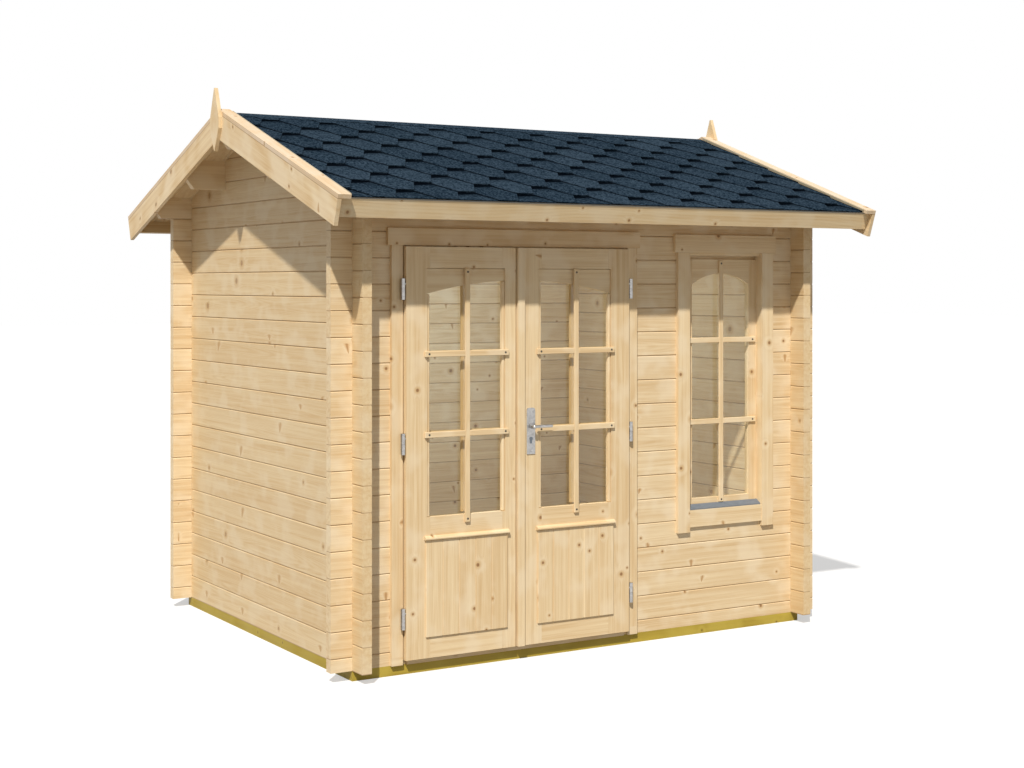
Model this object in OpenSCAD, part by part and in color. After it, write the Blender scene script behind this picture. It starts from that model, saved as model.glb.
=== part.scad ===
// Small garden log cabin with an open room inside, standing on a frame of base beams.
// Interlocking wall logs cross at the corners and stand out past them on both sides.
// The roof has two equal slopes with its ridge along X. The front, with a pair of glazed
// doors and a tall arched window, looks along -Y. Millimetres, +Z up, origin at the middle
// of the ground plan at ground level.

/* [Walls] */
// Width across the outer faces of the side walls
wall_width = 2470; // [2440:10:2640]
// Depth across the outer faces of the front and back walls
wall_depth = 2024; // [1900:4:2200]
// Height of one log course
log_height = 114; // [112:1:118]
// Thickness of a log
log_thickness = 45; // [40:1:50]
// Length of log standing out past each corner
corner_reach = 100; // [80:5:120]
// Leg of the small chamfer along each log edge
log_chamfer = 4; // [2:0.5:6]
// Height of the beams under the walls
base_height = 45; // [40:1:60]
// Width of the beams under the walls
base_width = 70; // [66:1:95]
// Thickness of the floor boards
floor_thickness = 18; // [16:1:22]

/* [Roof] */
// Slope of the roof in degrees
roof_pitch = 19; // [17:0.5:21]
// Height of the bevelled top log at the wall's outer face
top_log_height = 94; // [86:1:100]
// Reach of the roof boards past the side walls
verge_reach = 202; // [170:4:218]
// Reach of the roof boards past the front and back walls, level
eave_reach = 284; // [260:4:300]
// Thickness of the roof boards
roof_board = 18; // [16:1:22]
// Thickness of the roofing under the cut shingles
roofing = 6; // [4:1:8]
// Thickness of the bargeboards, verge caps, fascias and finials
trim_thickness = 18; // [16:1:22]
// Width of a bargeboard, square to the slope
bargeboard_width = 116; // [100:2:140]
// Width of a verge cap
verge_cap_width = 60; // [50:2:70]
// Height of a fascia board, square to the slope
fascia_height = 80; // [72:2:96]
// Height of a purlin
purlin_height = 145; // [120:5:150]
// Width of a finial
finial_width = 112; // [90:2:130]

/* [Doors] */
// Distance from the left wall's outer face to the left leaf
door_offset = 239; // [236:1:260]
// Width of the left leaf
left_leaf_width = 551; // [540:1:560]
// Width of the right leaf
right_leaf_width = 613; // [600:1:620]
// Thickness of a leaf
leaf_thickness = 32; // [30:1:36]
// Width of the outer stiles
stile_width = 117; // [108:1:124]
// Gap between the two leaves and round them
leaf_gap = 8; // [7:0.5:10]
// Radius of the arch that spans both leaves
door_arch_radius = 1980; // [1800:10:2400]

/* [Window] */
// Distance from the left wall's outer face to the window's middle line
window_offset = 2005; // [1990:1:2020]
// Clear width between the window casings
window_width = 446; // [410:2:450]
// Width of the sash stiles
sash_stile = 47; // [40:1:60]
// Rise of the window's arch
window_arch_rise = 55; // [40:1:70]

/* [Hidden] */
// Play of seated pieces, open width of a joint between boards, overlap of a cutting shape
fit = 0.3;
joint = 0.4;
far = 10;
half_width = wall_width / 2;
half_depth = wall_depth / 2;
front_face = -half_depth;
left_face = -half_width;
slope = tan(roof_pitch);
slope_cos = cos(roof_pitch);
slope_sin = sin(roof_pitch);

// Log courses: front and back walls start with half a log, side walls with a whole one; the lap
// is the share of a log's height cut away above and below where another log crosses it
courses = 17;
log_lap = 0.25;
door_courses = 16;
sill_courses = 4;
wall_top = (courses + 0.5) * log_height;
opening_top = (door_courses + 0.5) * log_height;
window_sill = (sill_courses + 0.5) * log_height;
eave_height = wall_top + top_log_height;
ridge_height = eave_height + half_depth * slope;
front_splice = 832;
joists = 4;
floor_edge = 1;

// Door leaves
leaf_proud = 38;
leaf_lift = 21;
leaf_drop = 64;
leaf_front = front_face - leaf_proud;
leaf_back = leaf_front + leaf_thickness;
leaf_bottom = base_height + leaf_lift;
leaf_top = base_height + opening_top - leaf_drop;
left_leaf_x = left_face + door_offset;
left_leaf_end = left_leaf_x + left_leaf_width;
right_leaf_x = left_leaf_end + leaf_gap;
right_leaf_end = right_leaf_x + right_leaf_width;
inner_stile = 69;
lock_stile = 130;
stile_rebate = 15;
left_open_x = left_leaf_x + stile_width - stile_rebate;
left_open_end = left_leaf_end - inner_stile + stile_rebate;
right_open_x = right_leaf_x + lock_stile - stile_rebate;
right_open_end = right_leaf_end - stile_width + stile_rebate;
top_rail = 93;
bottom_rail = 91;
panel_height = 418;
middle_rail = 106;
panel_bottom = leaf_bottom + bottom_rail;
panel_top = panel_bottom + panel_height;
glass_bottom = panel_top + middle_rail;
arch_middle = (left_leaf_x + right_leaf_end) / 2;
arch_drop = 146;
arch_crown = leaf_top - arch_drop;
arch_setback = 8;
arch_thickness = 16;
arch_groove = 3;
arch_groove_depth = 8;
glass_thickness = 4;
glass_setback = 25;
door_glass_y = leaf_front + glass_setback;
panel_thickness = 14;
panel_proud = 8;
panel_lap = 9;
cover_strip_width = 34;
cover_strip_thickness = 12;

// Door frame and casing
casing_gap = 6;
casing_thickness = 18;
casing_face = front_face - casing_thickness;
door_casing_width = 54;
door_head_height = 75;
head_ear = 17;
jamb_cover = 15;
jamb_width = 40;
frame_depth = 60;
threshold_lip = 16;
threshold_gap = 7;

// Hinges and lock
hinge_radius = 10;
hinge_reach = 13;
hinge_setback = 6;
hinge_y = leaf_front + hinge_setback;
hinge_half = 46;
turn_gap = 0.5;
hinge_pin_radius = 4;
hinge_pin_length = 36;
hinge_pin_play = 0.1;
hinge_pin_space = 2;
hinge_stud_radius = 5;
low_hinge = 202;
middle_hinge = 960;
high_hinge = 1632;
hinge_heights = [low_hinge, middle_hinge, high_hinge];
plate_width = 44;
plate_height = 210;
plate_thickness = 4;
plate_corner = 12;
plate_inset = 71;
plate_drop = 21;
lever_lift = 1010;
plate_x = right_leaf_x + plate_inset;
lever_z = base_height + lever_lift;
plate_z = lever_z - plate_drop;
spindle_radius = 4;
spindle_play = 0.1;
hub_radius = 10;
hub_length = 30;
lever_length = 94;
lever_radius = 7;
stile_bore_radius = 12;

// Window frame, sash and casing
window_head_drop = 75;
window_sill_height = 41;
window_jamb = 25;
window_x = left_face + window_offset;
window_half = window_width / 2;
window_bottom = base_height + window_sill + window_sill_height;
window_top = base_height + opening_top - window_head_drop;
window_head_reveal = 14;
frame_under = window_top - window_head_reveal;
sash_setback = 30;
sash_thickness = 30;
sash_bottom_rail = 55;
sash_front = front_face + sash_setback;
sash_rebate = 16;
window_glass_y = sash_front + sash_rebate;
window_arch_drop = 155;
sash_head_gap = 18;
sash_top = frame_under - sash_head_gap;
window_spring = window_top - window_arch_drop;
window_casing_width = 70;
window_casing_drop = 100;
window_head_height = 86;
apron_height = 80;
apron_lip = 4;
apron_setback = 4;
drip_height = 24;
drip_depth = 34;
drip_edge = 5;
arch_half = window_half - sash_stile;
window_arch_radius = (arch_half * arch_half + window_arch_rise * window_arch_rise)
    / (2 * window_arch_rise);

// Roof planes, measured square to the slope from the underside of the roof boards
roofing_overrun = 4;
trim_overrun = 24;
board_top = roof_board;
roofing_top = roof_board + roofing;
cap_top = roofing_top + trim_thickness;
slope_length = (half_depth + eave_reach) / slope_cos;
roofing_end = slope_length + trim_thickness + roofing_overrun;
trim_end = slope_length + trim_thickness + trim_overrun;
purlin_place = 0.472;
purlin_offset = purlin_place * half_depth;
purlin_end = verge_reach - fit;
purlin_chamfer = 38;
chamfer_slant = 1.3;
verge_x = half_width + verge_reach;
cap_x = verge_x + trim_thickness - verge_cap_width;

// Finial: heights of its corners above and below the top of the verge caps
finial_tip = 6;
finial_rise = 97;
finial_shoulder = -44;
finial_hip = -96;
finial_foot = -202;

spruce = [0.86, 0.70, 0.47];
treated = [0.55, 0.50, 0.20];
slate = [0.17, 0.20, 0.25];
steel = [0.62, 0.62, 0.63];
pane = [0.75, 0.82, 0.82, 0.35];

// A box given by its low and high corners
module block(low, high) {
    translate(low) {
        cube(high - low);
    }
}

// A flat outline in Y and Z, drawn out along X
module along_x(from_x, to_x) {
    translate([from_x, 0, 0]) {
        rotate([90, 0, 90]) {
            linear_extrude(to_x - from_x) {
                children();
            }
        }
    }
}

// A flat outline in X and Z, drawn out along Y
module along_y(from_y, to_y) {
    translate([0, to_y, 0]) {
        rotate([90, 0, 0]) {
            linear_extrude(to_y - from_y) {
                children();
            }
        }
    }
}

// Height of the underside of the roof boards at a distance y from the ridge
function roof_under(y) = base_height + ridge_height - abs(y) * slope;

// A point on the front slope: how far down it from the ridge, how far square above its underside
function on_slope(down, up) = [
    -down * slope_cos - up * slope_sin,
    base_height + ridge_height - down * slope_sin + up * slope_cos
];

// How far down the slope the plumb cut at the ridge meets a plane this high above the underside
function ridge_cut(up) = -up * slope_sin / slope_cos;

// Cross-section of a board lying on the front slope, cut plumb near the ridge and square at the eave
module slope_board(low, high, end, ridge_space) {
    start = ridge_space / slope_cos;
    polygon([
        on_slope(ridge_cut(low) + start, low),
        on_slope(ridge_cut(high) + start, high),
        on_slope(end, high),
        on_slope(end, low)
    ]);
}

// Edge of a wall face with a small V where two logs meet
function log_edges(face, inward, lines) = [
    for (z = lines)
        for (step = [[0, -1], [1, 0], [0, 1]])
            [face + inward * step[0] * log_chamfer, z + step[1] * log_chamfer]
];

function reversed(list) = [for (i = [len(list) - 1:-1:0]) list[i]];

// Joint heights of a wall whose first log is this high
function log_lines(first, last) = [
    for (z = [first:log_height:last]) base_height + z
];

// Cross-section of the front wall in Y and Z, up to the bevelled top log
module front_section() {
    lines = log_lines(log_height / 2, wall_top - log_height);
    inner_face = front_face + log_thickness;
    top = base_height + wall_top;
    polygon(concat(
        [[front_face, base_height]],
        log_edges(front_face, 1, lines),
        [
            [front_face, top - log_chamfer],
            [front_face + log_chamfer, top],
            [inner_face - log_chamfer, top],
            [inner_face, top - log_chamfer]
        ],
        reversed(log_edges(inner_face, -1, lines)),
        [[inner_face, base_height]]
    ));
}

// Cross-section of the left wall in X and Z
module side_section() {
    lines = log_lines(log_height, ridge_height - log_height / 2);
    inner_face = left_face + log_thickness;
    top = base_height + ridge_height;
    polygon(concat(
        [[left_face, base_height]],
        log_edges(left_face, 1, lines),
        [[left_face, top], [inner_face, top]],
        reversed(log_edges(inner_face, -1, lines)),
        [[inner_face, base_height]]
    ));
}

// The space under the roof boards
module under_roof(from_x, to_x) {
    reach = half_depth + corner_reach + far;
    along_x(from_x, to_x) {
        polygon([
            [-reach, 0],
            [reach, 0],
            [reach, roof_under(reach) - fit],
            [0, roof_under(0) - fit],
            [-reach, roof_under(reach) - fit]
        ]);
    }
}

// Notches in the front wall's logs where the side walls' logs cross them
module front_notches() {
    for (side = [-1, 1]) {
        middle = side * (half_width - log_thickness / 2);
        for (course = [0:courses + 1]) {
            low = base_height + (course + log_lap) * log_height - fit;
            block([middle - log_thickness / 2 - fit, front_face - far, low],
                [middle + log_thickness / 2 + fit, front_face + log_thickness + far,
                    low + (1 - 2 * log_lap) * log_height + 2 * fit]);
        }
    }
}

// Notches in a side wall's logs where the front and back walls' logs cross them
module side_notches() {
    for (side = [-1, 1]) {
        middle = side * (half_depth - log_thickness / 2);
        for (course = [-1:courses]) {
            low = base_height + (course + 1 - log_lap) * log_height;
            block([left_face - far, middle - log_thickness / 2 - fit, low],
                [left_face + log_thickness + far, middle + log_thickness / 2 + fit,
                    low + 2 * log_lap * log_height]);
        }
    }
}

// The slanted cut under both ends of a roof timber that runs along X
module end_chamfers(low_y, high_y, bottom) {
    for (side = [-1, 1]) {
        along_y(low_y - far, high_y + far) {
            polygon([
                [side * (half_width + purlin_end - purlin_chamfer), bottom],
                [side * (half_width + purlin_end), bottom + purlin_chamfer * chamfer_slant],
                [side * (half_width + purlin_end + far), bottom + purlin_chamfer * chamfer_slant],
                [side * (half_width + purlin_end + far), bottom - far],
                [side * (half_width + purlin_end - purlin_chamfer), bottom - far]
            ]);
        }
    }
}

// The top log of the front wall, bevelled to the roof and long enough to carry it past the gables
module top_log() {
    inner_face = front_face + log_thickness;
    bottom = base_height + wall_top + fit;
    difference() {
        along_x(-half_width - purlin_end, half_width + purlin_end) {
            polygon([
                [front_face, bottom + log_chamfer],
                [front_face, roof_under(front_face) - fit],
                [inner_face, roof_under(inner_face) - fit],
                [inner_face, bottom + log_chamfer],
                [inner_face - log_chamfer, bottom],
                [front_face + log_chamfer, bottom]
            ]);
        }
        end_chamfers(front_face, inner_face, bottom);
        front_notches();
    }
}

// The whole front wall, before the doors and window are cut out of it
module front_logs() {
    difference() {
        along_x(-half_width - corner_reach, half_width + corner_reach) {
            front_section();
        }
        front_notches();
    }
}

// A purlin on the front slope, its top bevelled to the roof boards
module slope_purlin() {
    low_y = -purlin_offset - log_thickness;
    bottom = roof_under(purlin_offset) - purlin_height;
    difference() {
        along_x(-half_width - purlin_end, half_width + purlin_end) {
            polygon([
                [low_y, bottom],
                [-purlin_offset, bottom],
                [-purlin_offset, roof_under(purlin_offset) - fit],
                [low_y, roof_under(low_y) - fit]
            ]);
        }
        end_chamfers(low_y, -purlin_offset, bottom);
    }
}

// The purlin under the ridge
module ridge_purlin() {
    half = log_thickness / 2;
    bottom = roof_under(0) - purlin_height;
    difference() {
        along_x(-half_width - purlin_end, half_width + purlin_end) {
            polygon([
                [-half, bottom],
                [half, bottom],
                [half, roof_under(half) - fit],
                [0, roof_under(0) - fit],
                [-half, roof_under(half) - fit]
            ]);
        }
        end_chamfers(-half, half, bottom);
    }
}

// Room for the purlins in a gable
module purlin_seats() {
    for (side = [-1, 1]) {
        middle = side * (purlin_offset + log_thickness / 2);
        block([left_face - far, middle - log_thickness / 2 - fit,
                roof_under(purlin_offset) - purlin_height - fit],
            [left_face + log_thickness + far, middle + log_thickness / 2 + fit,
                roof_under(0)]);
    }
    block([left_face - far, -log_thickness / 2 - fit, roof_under(0) - purlin_height - fit],
        [left_face + log_thickness + far, log_thickness / 2 + fit, roof_under(0) + far]);
}

module left_logs() {
    difference() {
        intersection() {
            along_y(-half_depth - corner_reach, half_depth + corner_reach) {
                side_section();
            }
            under_roof(left_face - far, left_face + log_thickness + far);
        }
        side_notches();
        purlin_seats();
    }
}

module base_beams_long() {
    splice = left_face + front_splice;
    color(treated) {
        block([left_face, front_face, 0],
            [splice - joint / 2, front_face + base_width, base_height - fit]);
        block([splice + joint / 2, front_face, 0],
            [half_width, front_face + base_width, base_height - fit]);
        block([left_face, half_depth - base_width, 0],
            [half_width, half_depth, base_height - fit]);
    }
}

module base_beams_cross() {
    spacing = (wall_width - base_width) / joists;
    color(treated) {
        for (i = [0:joists]) {
            block([left_face + i * spacing, front_face + base_width + fit, 0],
                [left_face + i * spacing + base_width, half_depth - base_width - fit,
                    base_height - fit]);
        }
    }
}

module floor_boards() {
    edge = log_thickness + floor_edge;
    color(spruce) {
        block([left_face + edge, front_face + frame_depth + joint, base_height],
            [half_width - edge, half_depth - edge, base_height + floor_thickness]);
    }
}

// Part of the front wall between two distances along X and two heights
module front_part(from_x, to_x, low, high) {
    intersection() {
        front_logs();
        block([from_x, front_face - far, low],
            [to_x, front_face + log_thickness + far, high]);
    }
}

module front_wall_left() {
    color(spruce) {
        front_part(left_face - corner_reach - far, left_leaf_x - jamb_width + jamb_cover - fit,
            base_height, base_height + opening_top);
    }
}

module front_wall_middle() {
    color(spruce) {
        front_part(right_leaf_end + jamb_width - jamb_cover + fit,
            window_x - window_half - window_jamb, base_height, base_height + opening_top);
    }
}

module front_wall_sill() {
    color(spruce) {
        front_part(window_x - window_half - window_jamb, window_x + window_half + window_jamb,
            base_height, base_height + window_sill);
    }
}

module front_wall_right() {
    color(spruce) {
        front_part(window_x + window_half + window_jamb, half_width + corner_reach + far,
            base_height, base_height + opening_top);
    }
}

module front_wall_top() {
    color(spruce) {
        front_part(left_face - corner_reach - far, half_width + corner_reach + far,
            base_height + opening_top + fit, base_height + wall_top);
    }
}

module back_wall() {
    color(spruce) {
        mirror([0, 1, 0]) {
            front_logs();
        }
    }
}

module eave_logs() {
    color(spruce) {
        for (turn = [0, 1]) {
            mirror([0, turn, 0]) {
                top_log();
            }
        }
    }
}

module left_wall() {
    color(spruce) {
        left_logs();
    }
}

module right_wall() {
    color(spruce) {
        mirror([1, 0, 0]) {
            left_logs();
        }
    }
}

module purlins() {
    color(spruce) {
        ridge_purlin();
        slope_purlin();
        mirror([0, 1, 0]) {
            slope_purlin();
        }
    }
}

module roof_boards_front() {
    color(spruce) {
        along_x(-verge_x, verge_x) {
            slope_board(0, board_top, slope_length, joint / 2);
        }
    }
}

module roof_boards_back() {
    mirror([0, 1, 0]) {
        roof_boards_front();
    }
}

module roofing_front() {
    color(slate) {
        along_x(-verge_x, verge_x) {
            slope_board(board_top + fit, roofing_top, roofing_end, joint / 2);
        }
    }
}

module roofing_back() {
    mirror([0, 1, 0]) {
        roofing_front();
    }
}

// Boards along the eaves, nailed square on the ends of the roof boards
module fascias() {
    color(spruce) {
        for (turn = [0, 1]) {
            mirror([0, turn, 0]) {
                along_x(-verge_x, verge_x) {
                    polygon([
                        on_slope(slope_length + fit, board_top),
                        on_slope(slope_length + trim_thickness, board_top),
                        on_slope(slope_length + trim_thickness, board_top - fascia_height),
                        on_slope(slope_length + fit, board_top - fascia_height)
                    ]);
                }
            }
        }
    }
}

// Draws a board of the front slope's right end at all four ends of the roof
module at_verges() {
    for (side = [0, 1], turn = [0, 1]) {
        mirror([side, 0, 0]) {
            mirror([0, turn, 0]) {
                children();
            }
        }
    }
}

// Boards over the roof's ends, each pair meeting in a plumb joint under the ridge
module bargeboards() {
    color(spruce) {
        at_verges() {
            along_x(verge_x, verge_x + trim_thickness) {
                slope_board(roofing_top - bargeboard_width, roofing_top, trim_end, joint / 2);
            }
        }
    }
}

// Flat boards that cover the edges of the roofing over the bargeboards
module verge_caps() {
    color(spruce) {
        at_verges() {
            along_x(cap_x, verge_x + trim_thickness) {
                slope_board(roofing_top + fit, cap_top, trim_end, joint / 2);
            }
        }
    }
}

// Pointed planks on the outside of the bargeboards at both gable tops
module finials() {
    apex = roof_under(0) + cap_top / slope_cos;
    half = finial_width / 2;
    tip = finial_tip / 2;
    color(spruce) {
        for (turn = [0, 1]) {
            mirror([turn, 0, 0]) {
                along_x(verge_x + trim_thickness, verge_x + 2 * trim_thickness) {
                    polygon([
                        [-tip, apex + finial_rise],
                        [tip, apex + finial_rise],
                        [half, apex + finial_shoulder],
                        [half, apex + finial_hip],
                        [tip, apex + finial_foot],
                        [-tip, apex + finial_foot],
                        [-half, apex + finial_hip],
                        [-half, apex + finial_shoulder]
                    ]);
                }
            }
        }
    }
}

// Jambs, head and threshold that line the doorway
module door_frame() {
    left_in = left_leaf_x + jamb_cover;
    right_in = right_leaf_end - jamb_cover;
    back = front_face + frame_depth;
    head = leaf_top - jamb_cover;
    color(spruce) {
        block([left_in - jamb_width, front_face, base_height], [left_in, back, head - joint]);
        block([right_in, front_face, base_height], [right_in + jamb_width, back, head - joint]);
        block([left_in - jamb_width, front_face, head],
            [right_in + jamb_width, back, base_height + opening_top]);
        along_x(left_in + joint, right_in - joint) {
            polygon([
                [front_face - threshold_lip, base_height],
                [back, base_height],
                [back, leaf_bottom + jamb_cover],
                [front_face, leaf_bottom + jamb_cover],
                [front_face, leaf_bottom - threshold_gap],
                [front_face - threshold_lip, leaf_bottom - threshold_gap]
            ]);
        }
    }
}

// Boards on the wall round the doorway
module door_casing() {
    left_out = left_leaf_x - casing_gap - door_casing_width;
    right_out = right_leaf_end + casing_gap + door_casing_width;
    head = leaf_top + casing_gap;
    color(spruce) {
        block([left_out, casing_face, base_height],
            [left_leaf_x - casing_gap, front_face - fit, head - joint]);
        block([right_leaf_end + casing_gap, casing_face, base_height],
            [right_out, front_face - fit, head - joint]);
        block([left_out - head_ear, casing_face, head],
            [right_out + head_ear, front_face - fit, head + door_head_height]);
    }
}

// Lower half of a barrel hinge with its pin, and the stud that holds it to the casing
module frame_hinge(x, z) {
    translate([x, hinge_y, z - hinge_half]) {
        cylinder(r = hinge_radius, h = hinge_half - turn_gap, $fn = 48);
        cylinder(r = hinge_pin_radius, h = hinge_half + hinge_pin_length, $fn = 48);
        translate([0, 0, hinge_half / 2]) {
            rotate([-90, 0, 0]) {
                cylinder(r = hinge_stud_radius, h = casing_face - hinge_y, $fn = 48);
            }
        }
    }
}

// Upper half of a barrel hinge, bored for the pin, with its stud to the leaf's edge
module leaf_hinge(x, z, side) {
    translate([x, hinge_y, z]) {
        difference() {
            union() {
                translate([0, 0, turn_gap]) {
                    cylinder(r = hinge_radius, h = hinge_half - turn_gap, $fn = 48);
                }
                translate([0, 0, hinge_half / 2]) {
                    rotate([0, 90 * side, 0]) {
                        cylinder(r = hinge_stud_radius, h = hinge_reach, $fn = 48);
                    }
                }
            }
            translate([0, 0, -far]) {
                cylinder(r = hinge_pin_radius + hinge_pin_play,
                    h = far + hinge_pin_length + hinge_pin_space, $fn = 48);
            }
        }
    }
}

module frame_hinges() {
    color(steel) {
        for (z = hinge_heights) {
            frame_hinge(left_leaf_x - hinge_reach, base_height + z);
            frame_hinge(right_leaf_end + hinge_reach, base_height + z);
        }
    }
}

// The board with an arched lower edge and a groove along its top, under a leaf's top rail
module arch_board(from_x, to_x) {
    centre = arch_crown - door_arch_radius;
    face = leaf_front + arch_setback;
    top = leaf_top - top_rail - fit;
    difference() {
        block([from_x, face, centre], [to_x, face + arch_thickness, top]);
        block([from_x - far, face - far, top - arch_groove],
            [to_x + far, face + arch_groove_depth, top + far]);
        translate([arch_middle, leaf_front - far, centre]) {
            rotate([-90, 0, 0]) {
                cylinder(r = door_arch_radius, h = leaf_thickness + 2 * far, $fn = 720);
            }
        }
    }
}

// A stile, cut back beside the panel and the glass to take their edges
module leaf_stile(from_x, to_x, cut_from, cut_to) {
    difference() {
        block([from_x, leaf_front, leaf_bottom], [to_x, leaf_back, leaf_top]);
        block([cut_from, leaf_front - far, panel_bottom],
            [cut_to, leaf_back + far, panel_top]);
        block([cut_from, leaf_front - far, glass_bottom],
            [cut_to, leaf_back + far, leaf_top - top_rail]);
    }
}

// Top, middle and bottom rail between two stiles
module leaf_rails(from_x, to_x) {
    block([from_x + fit, leaf_front, leaf_top - top_rail], [to_x - fit, leaf_back, leaf_top]);
    block([from_x + fit, leaf_front, panel_top], [to_x - fit, leaf_back, glass_bottom]);
    block([from_x + fit, leaf_front, leaf_bottom], [to_x - fit, leaf_back, panel_bottom]);
}

// The panel in the lower part of a leaf, its face lapping over the stiles and the middle rail
module leaf_panel(from_x, to_x) {
    face = leaf_front - panel_proud;
    block([from_x + fit, face, panel_bottom + fit],
        [to_x - fit, leaf_front + panel_thickness, panel_top - fit]);
    block([from_x - panel_lap, face, panel_bottom + fit],
        [to_x + panel_lap, leaf_front - fit, panel_top + panel_lap]);
}

module leaf_pane(from_x, to_x) {
    block([from_x + fit, door_glass_y, glass_bottom + fit],
        [to_x - fit, door_glass_y + glass_thickness, leaf_top - top_rail - fit]);
}

module left_leaf_stiles() {
    color(spruce) {
        leaf_stile(left_leaf_x, left_leaf_x + stile_width, left_open_x, left_open_end);
        leaf_stile(left_leaf_end - inner_stile, left_leaf_end, left_open_x, left_open_end);
    }
}

module left_leaf_rails() {
    color(spruce) {
        leaf_rails(left_leaf_x + stile_width, left_leaf_end - inner_stile);
    }
}

module left_leaf_arch() {
    color(spruce) {
        arch_board(left_open_x + fit, left_open_end - fit);
    }
}

module left_leaf_panel() {
    color(spruce) {
        leaf_panel(left_open_x, left_open_end);
    }
}

module left_leaf_glass() {
    color(pane) {
        leaf_pane(left_open_x, left_open_end);
    }
}

module left_leaf_hinges() {
    color(steel) {
        for (z = hinge_heights) {
            leaf_hinge(left_leaf_x - hinge_reach, base_height + z, 1);
        }
    }
}

module right_leaf_stiles() {
    color(spruce) {
        difference() {
            leaf_stile(right_leaf_x, right_leaf_x + lock_stile, right_open_x, right_open_end);
            translate([plate_x, leaf_front - far, lever_z]) {
                rotate([-90, 0, 0]) {
                    cylinder(r = stile_bore_radius, h = leaf_thickness + 2 * far, $fn = 48);
                }
            }
        }
        leaf_stile(right_leaf_end - stile_width, right_leaf_end, right_open_x, right_open_end);
    }
}

module right_leaf_rails() {
    color(spruce) {
        leaf_rails(right_leaf_x + lock_stile, right_leaf_end - stile_width);
    }
}

module right_leaf_arch() {
    color(spruce) {
        arch_board(right_open_x + fit, right_open_end - fit);
    }
}

module right_leaf_panel() {
    color(spruce) {
        leaf_panel(right_open_x, right_open_end);
    }
}

module right_leaf_glass() {
    color(pane) {
        leaf_pane(right_open_x, right_open_end);
    }
}

module right_leaf_hinges() {
    color(steel) {
        for (z = hinge_heights) {
            leaf_hinge(right_leaf_end + hinge_reach, base_height + z, -1);
        }
    }
}

// The strip on the right leaf beside the joint between the leaves
module cover_strip() {
    color(spruce) {
        block([right_leaf_x, leaf_front - cover_strip_thickness, leaf_bottom],
            [right_leaf_x + cover_strip_width, leaf_front - fit, leaf_top]);
    }
}

// One lock plate with rounded upper corners, bored for the spindle
module lock_plate(low_y) {
    left = plate_x - plate_width / 2;
    right = plate_x + plate_width / 2;
    top = plate_z + plate_height / 2;
    difference() {
        union() {
            block([left, low_y, plate_z - plate_height / 2],
                [right, low_y + plate_thickness, top - plate_corner]);
            block([left + plate_corner, low_y, plate_z],
                [right - plate_corner, low_y + plate_thickness, top]);
            for (x = [left + plate_corner, right - plate_corner]) {
                translate([x, low_y, top - plate_corner]) {
                    rotate([-90, 0, 0]) {
                        cylinder(r = plate_corner, h = plate_thickness, $fn = 48);
                    }
                }
            }
        }
        translate([plate_x, low_y - far, lever_z]) {
            rotate([-90, 0, 0]) {
                cylinder(r = spindle_radius + spindle_play, h = plate_thickness + 2 * far, $fn = 48);
            }
        }
    }
}

module lock_plates() {
    color(steel) {
        lock_plate(leaf_front - plate_thickness);
        lock_plate(leaf_back);
    }
}

// Both levers on the spindle that goes through the lock stile
module lever_handle() {
    outer = leaf_front - plate_thickness - turn_gap;
    inner = leaf_back + plate_thickness + turn_gap;
    arms = [outer - hub_length, inner + hub_length];
    color(steel) {
        translate([plate_x, 0, lever_z]) {
            translate([0, arms[0], 0]) {
                rotate([-90, 0, 0]) {
                    cylinder(r = spindle_radius, h = arms[1] - arms[0], $fn = 48);
                    cylinder(r = hub_radius, h = hub_length, $fn = 48);
                }
            }
            translate([0, inner, 0]) {
                rotate([-90, 0, 0]) {
                    cylinder(r = hub_radius, h = hub_length, $fn = 48);
                }
            }
            for (y = arms) {
                translate([0, y, 0]) {
                    sphere(r = hub_radius, $fn = 48);
                    rotate([0, 90, 0]) {
                        cylinder(r = lever_radius, h = lever_length, $fn = 48);
                    }
                }
            }
        }
    }
}

// Jambs, head and sill that line the window opening
module window_frame() {
    left_in = window_x - window_half;
    right_in = window_x + window_half;
    back = front_face + frame_depth;
    sill = base_height + window_sill;
    color(spruce) {
        block([left_in - window_jamb, front_face, sill + fit],
            [left_in, back, frame_under - joint]);
        block([right_in, front_face, sill + fit],
            [right_in + window_jamb, back, frame_under - joint]);
        block([left_in - window_jamb, front_face, frame_under],
            [right_in + window_jamb, back, base_height + opening_top]);
        block([left_in + joint, front_face, sill + fit], [right_in - joint, back, window_bottom]);
    }
}

// Stiles, bottom rail and arched head of the fixed sash, and the strip set back above them
module window_sash() {
    left_in = window_x - window_half + fit;
    right_in = window_x + window_half - fit;
    back = sash_front + sash_thickness;
    bottom = window_bottom + fit;
    centre = window_spring + window_arch_rise - window_arch_radius;
    color(spruce) {
        block([left_in, sash_front, bottom], [window_x - arch_half, back, sash_top]);
        block([window_x + arch_half, sash_front, bottom], [right_in, back, sash_top]);
        block([left_in, window_glass_y, sash_top + joint], [right_in, back, frame_under - fit]);
        block([window_x - arch_half + joint, sash_front, bottom],
            [window_x + arch_half - joint, back, window_bottom + sash_bottom_rail]);
        difference() {
            block([window_x - arch_half + joint, sash_front, window_spring],
                [window_x + arch_half - joint, window_glass_y - joint, sash_top]);
            translate([window_x, sash_front - far, centre]) {
                rotate([-90, 0, 0]) {
                    cylinder(r = window_arch_radius, h = sash_thickness + 2 * far, $fn = 180);
                }
            }
        }
    }
}

module window_glass() {
    rail = window_bottom + sash_bottom_rail + joint;
    color(pane) {
        block([window_x - arch_half + joint, window_glass_y, rail],
            [window_x + arch_half - joint, window_glass_y + glass_thickness, sash_top - joint]);
    }
}

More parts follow.
